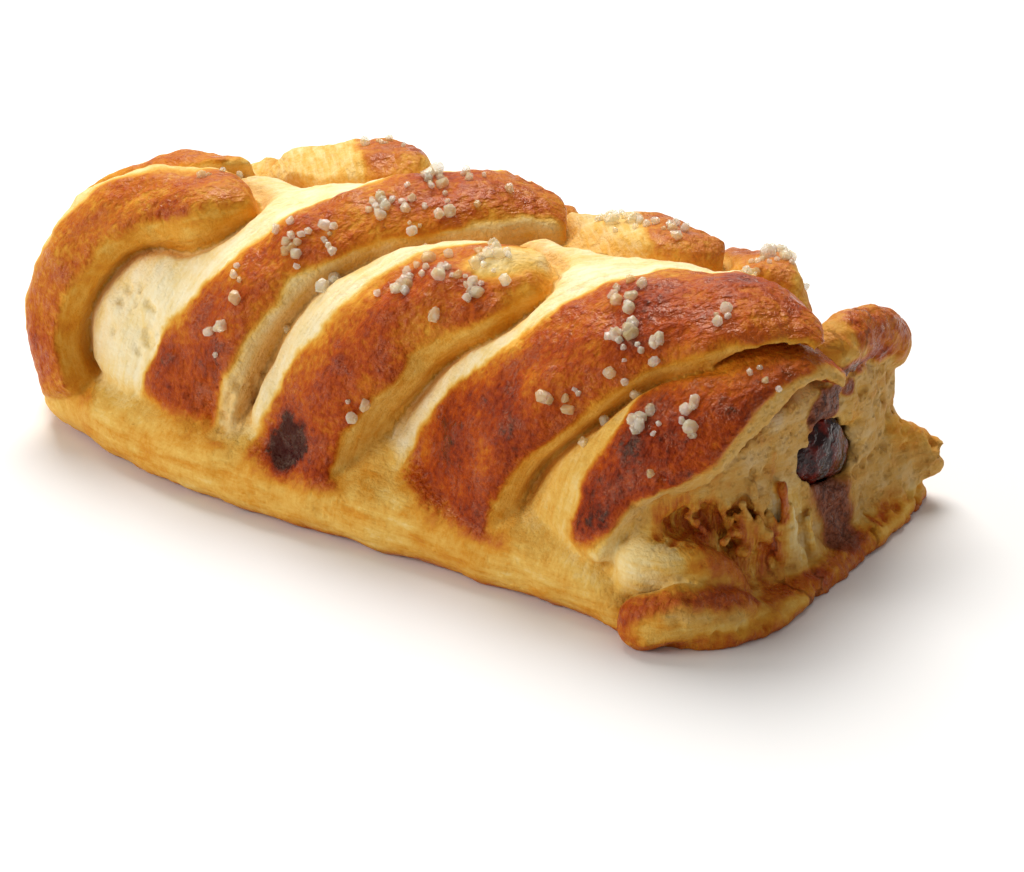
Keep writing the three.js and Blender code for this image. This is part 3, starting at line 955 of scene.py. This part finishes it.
def dough_patterns(nodes):
    """Patterns of the dough by name, from 0 to 1, or about 0 where one shows on a part of the dough only."""
    on_strip = nodes.add("ShaderNodeCombineXYZ", X=nodes.attribute("along"), Y=nodes.attribute("across"),
                         Z=nodes.attribute("out")).outputs[0]
    position = nodes.add("ShaderNodeTexCoord").outputs["Object"]
    off_strip = nodes.math("SUBTRACT", 1.0, nodes.attribute("strip"))
    patterns = {name: nodes.noise(*settings) for name, settings in NOISES.items()}
    patterns["wrinkles"] = nodes.range(nodes.stretched(on_strip, *WRINKLES), *WRINKLE_CUT)
    patterns["streaks"] = nodes.centred(nodes.stretched(on_strip, *STREAKS), nodes.attribute("streaky"))
    patterns["layers"] = nodes.centred(nodes.stretched(position, *LAYERS), off_strip)
    patterns["fibres"] = nodes.centred(nodes.stretched(position, *FIBRES), nodes.attribute("fibre"))
    patterns["blisters"] = nodes.range(nodes.cells(BLISTER_SCALE), *BLISTER_CUT, 1.0, 0.0)
    patterns["pores"] = nodes.range(nodes.cells(PORE_SCALE), *PORE_CUT)
    return patterns


def dough_colour(nodes, patterns, baked, browned, pale):
    """Colour by how baked the dough is, with painted warm shade in the hollows, duller crumb that is painted
    shade on the far strips, and stains of jam.
    """
    brown_tint = nodes.weighted(patterns, BROWN_TINTS, -0.5)
    streaks = nodes.weighted(patterns, STREAK_TINTS)
    pale_tint = nodes.math("ADD", streaks, nodes.weighted(patterns, PALE_TINTS, -0.5))
    level = nodes.math("ADD", baked, nodes.math("MULTIPLY", browned, brown_tint))
    level = nodes.math("ADD", level, nodes.math("MULTIPLY", pale, pale_tint))
    level = nodes.math("ADD", level, nodes.math("MULTIPLY", patterns["fibres"], FIBRE_TINT))
    colour = nodes.ramp(level, BAKED_COLOURS)
    # Painted warm shade and glow in the creases.
    hollow = nodes.math("MULTIPLY", nodes.attribute("hollow"), CREASE_GLOW_TINT)
    colour = nodes.mix(hollow, colour, from_srgb(*CREASE_GLOW_COLOUR))
    # Duller crumb colour, and painted shade on the far strips.
    crumb = nodes.math("MULTIPLY", nodes.attribute("crumb"), CRUMB_AND_SHADE_TINT)
    colour = nodes.mix(crumb, colour, from_srgb(*CRUMB_AND_SHADE_COLOUR))
    dark, light = (from_srgb(*stain) for stain in STAIN_COLOURS)
    stain = nodes.mix(nodes.range(patterns["fine"], *STAIN_CUT), dark, light)
    return nodes.mix(nodes.attribute("stain"), colour, stain)


def dough_relief(nodes, patterns, browned, pale):
    """Bump of wrinkled crust, soft pale dough, the crumb's pores and drawn-out fibres."""
    crust = nodes.math("MULTIPLY", browned, nodes.weighted(patterns, BROWN_RELIEF))
    soft = nodes.math("MULTIPLY", pale, nodes.weighted(patterns, PALE_RELIEF))
    pores = nodes.math("MULTIPLY", patterns["pores"], PORE_RELIEF)
    crumb = nodes.math("MULTIPLY", pores, nodes.attribute("crumb"))
    fibres = nodes.math("MULTIPLY", patterns["fibres"], FIBRE_RELIEF)
    height = nodes.math("ADD", nodes.math("ADD", crust, soft), nodes.math("ADD", crumb, fibres))
    return nodes.bump(height, RELIEF_STRENGTH, RELIEF_HEIGHT)


def dough_material():
    """Brown crust with fine wrinkles and glossy amber patches, pale dough with streaks and pores."""
    nodes = Nodes("baked_dough")
    patterns = dough_patterns(nodes)
    baked = nodes.attribute("baked")
    browned = nodes.range(baked, *BROWN_FROM)
    pale = nodes.math("SUBTRACT", 1.0, browned)
    amber = nodes.math("MULTIPLY", browned, nodes.range(patterns["mottle"], *AMBER_CUT))
    gloss = nodes.math("MAXIMUM", nodes.attribute("wet"), amber)
    dull = nodes.range(baked, *ROUGH_FROM, *ROUGHNESS)
    roughness = nodes.math("SUBTRACT", dull, nodes.math("MULTIPLY", gloss, GLOSS_SMOOTHS))
    return nodes.finish(Base_Color=dough_colour(nodes, patterns, baked, browned, pale), Roughness=roughness,
                        Normal=dough_relief(nodes, patterns, browned, pale),
                        Specular_IOR_Level=nodes.range(gloss, 0.0, 1.0, *SPECULAR),
                        Specular_Tint=SPECULAR_TINT)


def plain_material(name, colour, roughness):
    return Nodes(name).finish(Base_Color=(*colour, 1), Roughness=roughness)


def build_dough():
    dough = mesh_of("dough_crust", dough_field())
    thin_out(dough)
    paint_dough(dough)
    dough.data.materials.append(dough_material())
    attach(dough, "root")
    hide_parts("dough")
    return dough


JAM_COLOURS = ((38, 8, 7), (112, 24, 9))
JAM_ROUGH_CUT = (0.35, 0.7)
JAM_ROUGHNESS = (0.08, 0.2)
JAM_SPECULAR = 0.26
CLOT_SCALE = 330.0
CLOT_CUT = (0.45, 0.7)
CLOT_STRENGTH = 0.8
CLOT_HEIGHT = 0.0012


def jam_material():
    """Dark, glossy jam with redder clots."""
    nodes = Nodes("jam")
    clots = nodes.noise(CLOT_SCALE, 3.0, 0.6)
    dark, red = (from_srgb(*colour) for colour in JAM_COLOURS)
    return nodes.finish(Base_Color=nodes.mix(nodes.range(clots, *CLOT_CUT), dark, red),
                        Roughness=nodes.range(clots, *JAM_ROUGH_CUT, *JAM_ROUGHNESS),
                        Normal=nodes.bump(clots, CLOT_STRENGTH, CLOT_HEIGHT), Specular_IOR_Level=JAM_SPECULAR)


def build_filling():
    filling = mesh_of("jam_filling", filling_field(0.0))
    filling.data.materials.append(jam_material())
    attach(filling, "root")
    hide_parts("filling")
    return filling


# Sugar: coarse crystals stuck to the crests, a few patches to a strip.

SUGAR_SIZE = (1.0, 2.9)
SUGAR_CORNERS = 36
SUGAR_SIDES = (0.65, 1.0)
SUGAR_WEAR = (0.9, 1.0)
SUGAR_BOXINESS = 3
SUGAR_SINK = (0.28, 0.05)
SUGAR_SEED = 21
SMALL_GRAINS = 1.5
CLEAR_GRAINS = 2
FULL_TURN = 6.28
DROP_FROM = 12
CLUMP_SPREAD = 1.5
# Strip, share along it, mm across it, clumps and grains.
SUGAR_PATCHES = [
    ("N1", (0.85, 0.95), (-3, 1), 2, 4),
    ("N2", (0.28, 0.50), (0, 8), 4, 9),
    ("N2", (0.54, 0.96), (0, 11), 17, 80),
    ("N3", (0.62, 0.92), (-1, 8), 12, 54),
    ("N3", (0.26, 0.32), (5, 8), 1, 3),
    ("N4", (0.34, 0.52), (2, 10), 4, 8),
    ("N4", (0.60, 0.98), (-3, 10), 9, 36),
    ("N5", (0.28, 0.80), (-1, 8), 7, 20),
    ("F1", (0.75, 0.95), (-4, 2), 2, 6),
    ("F3", (0.72, 0.95), (-8, 3), 5, 26),
    ("F4", (0.68, 0.98), (-6, 3), 6, 34),
    ("F5", (0.80, 0.98), (-3, 2), 2, 5),
]


def crystal(draw, size):
    """Corner points of one crystal, an uneven box with worn edges."""
    directions = unit(draw.normal(size=(SUGAR_CORNERS, 3)))
    reach = (np.abs(directions) ** SUGAR_BOXINESS).sum(axis=1, keepdims=True) ** (1 / SUGAR_BOXINESS)
    sides = draw.uniform(*SUGAR_SIDES, 3)
    return directions / reach * sides * draw.uniform(*SUGAR_WEAR, (SUGAR_CORNERS, 1)) * size / 2


def draw_grain(draw, centres, length):
    """Place on its strip near a clump's centre, size, corners and melted share of one crystal, at random."""
    share, across = centres[draw.integers(len(centres))]
    share = share + CLUMP_SPREAD / length * draw.normal()
    across = across + CLUMP_SPREAD * draw.normal()
    size = mix(*SUGAR_SIZE, draw.random() ** SMALL_GRAINS)
    turn = Matrix.Rotation(draw.uniform(0, FULL_TURN), 3, Vector(draw.normal(size=3)))
    corners = [turn @ Vector(corner) for corner in crystal(draw, size)]
    return dict(share=min(max(share, STRIP_CAP_SHARE), 1.0), across=across, size=size, corners=corners,
                melt=draw.random() ** CLEAR_GRAINS)


def landing(tree, line, grain):
    """Where a crystal lands on the dough and the dough's normal there, or None for both."""
    i = int((grain["share"] - STRIP_CAP_SHARE) / (1 - STRIP_CAP_SHARE) * (LINE_STEPS - 1))
    out = Vector(line["out"][i])
    start = Vector(line["points"][i] + grain["across"] * line["across"][i]) + DROP_FROM * out
    return tree.ray_cast(start * MM, -out)[:2]


def add_grain(grains, melted, grain, place, normal):
    """Adds the hull of one crystal, sunk a little into the dough."""
    centre = place / MM + normal * grain["size"] * mix(*SUGAR_SINK, grain["melt"])
    verts = [grains.verts.new((centre + corner) * MM) for corner in grain["corners"]]
    for vert in verts:
        vert[melted] = grain["melt"]
    hull = bmesh.ops.convex_hull(grains, input=verts)
    bmesh.ops.delete(grains, geom=hull["geom_interior"], context="VERTS")


def build_sugar(dough):
    """Places the crystals on the dough, in clumps over the patches of each strip."""
    draw = np.random.default_rng(SUGAR_SEED)
    tree = BVHTree.FromObject(dough, bpy.context.evaluated_depsgraph_get())
    grains = bmesh.new()
    melted = grains.verts.layers.float.new("melted")
    for strip, shares, acrosses, clumps, count in SUGAR_PATCHES:
        line = strip_line(STRIPS[strip])
        length = np.linalg.norm(np.diff(line["points"], axis=0), axis=1).sum()
        centres = [(mix(*shares, a), mix(*acrosses, b)) for a, b in draw.random((clumps, 2))]
        for _ in range(count):
            grain = draw_grain(draw, centres, length)
            place, normal = landing(tree, line, grain)
            if place is not None:
                add_grain(grains, melted, grain, place, normal)
    mesh = bpy.data.meshes.new("sugar_grains")
    grains.to_mesh(mesh)
    grains.free()
    sugar = bpy.data.objects.new("sugar_grains", mesh)
    bpy.context.collection.objects.link(sugar)
    mesh.materials.append(sugar_material())
    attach(sugar, "root")
    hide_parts("dough")
    return sugar


SUGAR_COLOURS = ((255, 250, 228), (255, 232, 184))
SUGAR_COLOUR_SCALE = 700.0
SUGAR_COLOUR_CUT = (0.35, 0.65)
MELTED_COLOUR = (242, 196, 130)
SUGAR_BUMP_SCALE = 1300.0
SUGAR_BUMP_STRENGTH = 0.3
SUGAR_BUMP_HEIGHT = 0.0004


def sugar_material():
    """Cloudy, half-clear sugar, amber where it has melted."""
    nodes = Nodes("sugar")
    white, cream = (from_srgb(*colour) for colour in SUGAR_COLOURS)
    clear = nodes.mix(nodes.range(nodes.noise(SUGAR_COLOUR_SCALE), *SUGAR_COLOUR_CUT), white, cream)
    colour = nodes.mix(nodes.attribute("melted"), clear, from_srgb(*MELTED_COLOUR))
    normal = nodes.bump(nodes.noise(SUGAR_BUMP_SCALE, 2.0), SUGAR_BUMP_STRENGTH, SUGAR_BUMP_HEIGHT)
    return nodes.finish(Base_Color=colour, Roughness=0.12, Normal=normal, Alpha=0.44, Specular_IOR_Level=0.8,
                        Subsurface_Weight=1.0, Subsurface_Radius=(1.0, 0.9, 0.8), Subsurface_Scale=0.0025)


# Floor, light and camera.

FLOOR_SIZE = 6
FLOOR_COLOUR = (0.9, 0.9, 0.9)
FLOOR_ROUGHNESS = 0.8
LIGHT_COLOUR = (1, 0.98, 0.95)
SKY_STRENGTH = 0.3
LIGHTS = {
    "key": dict(place=(-0.38, 0.38, 0.85), size=0.7, energy=12.5),
    "fill": dict(place=(-0.6, -0.9, 0.5), size=0.6, energy=6.5),
}


def build_floor():
    bpy.ops.mesh.primitive_plane_add(size=FLOOR_SIZE)
    floor = bpy.context.object
    floor.name = "floor"
    floor.data.materials.append(plain_material("floor", FLOOR_COLOUR, FLOOR_ROUGHNESS))


def add_light(name, place, size, energy):
    data = bpy.data.lights.new(name, "AREA")
    data.size = size
    data.energy = energy
    data.color = LIGHT_COLOUR
    light = bpy.data.objects.new(name, data)
    light.location = place
    light.rotation_euler = (-Vector(place)).to_track_quat("-Z", "Y").to_euler()
    bpy.context.collection.objects.link(light)


def build_light():
    world = bpy.data.worlds.new("studio")
    world.use_nodes = True
    background = world.node_tree.nodes["Background"]
    background.inputs["Color"].default_value = (*LIGHT_COLOUR, 1)
    background.inputs["Strength"].default_value = SKY_STRENGTH
    bpy.context.scene.world = world
    for name, light in LIGHTS.items():
        add_light(name, **light)
    bpy.context.scene.view_settings.view_transform = "Standard"


def build_camera():
    data = bpy.data.cameras.new("camera")
    data.lens = LENS
    data.sensor_width = SENSOR_WIDTH
    data.clip_start = CLIP_START
    camera = bpy.data.objects.new("camera", data)
    azimuth, elevation = math.radians(CAMERA_AZIMUTH), math.radians(CAMERA_ELEVATION)
    back = Vector((math.sin(azimuth) * math.cos(elevation), -math.cos(azimuth) * math.cos(elevation),
                   math.sin(elevation)))
    camera.location = (Vector(CAMERA_TARGET) + CAMERA_DISTANCE * back) * MM
    camera.rotation_euler = (-back).to_track_quat("-Z", "Y").to_euler()
    bpy.context.collection.objects.link(camera)
    bpy.context.scene.camera = camera


build_sugar(build_dough())
build_filling()
build_floor()
build_light()
build_camera()
